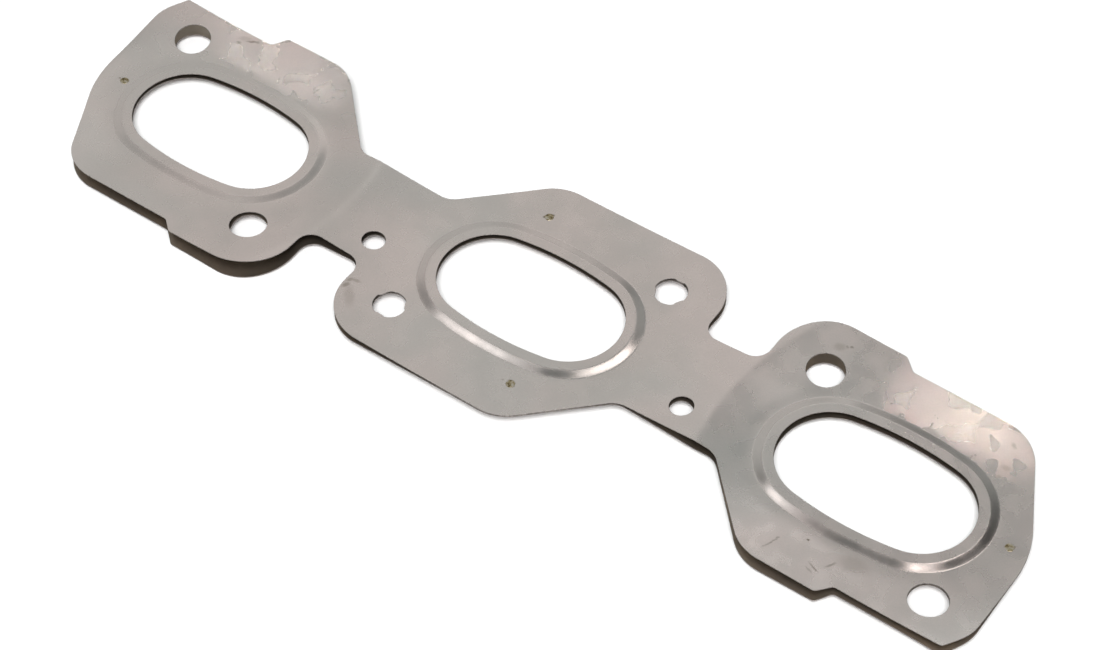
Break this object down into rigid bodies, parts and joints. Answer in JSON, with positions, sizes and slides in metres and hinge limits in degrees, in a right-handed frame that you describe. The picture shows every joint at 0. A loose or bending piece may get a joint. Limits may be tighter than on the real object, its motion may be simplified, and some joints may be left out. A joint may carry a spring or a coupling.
{
  "type": "exhaust manifold gasket",
  "caption": "Long flat two-layer steel gasket with oblong ports in raised rings, stud holes in lobed flanges and narrow necks between them.",
  "frame": {"origin": "centre of the centre port, in the middle plane between the two sheets", "axes": "+X along the row of ports, +Y across the flanges, +Z out of the upper sheet"},
  "size_m": [0.281, 0.0712, 0.0064],
  "materials": {
    "upper_steel": "satin rolled stainless sheet",
    "lower_steel": "satin rolled stainless sheet",
    "weld_spot": "brown heat-tinted spot weld"
  },
  "bodies": {
    "root": {"upper_sheet": "upper_steel", "lower_sheet": "lower_steel", "spot_welds": "weld_spot"}
  },
  "joints": []
}
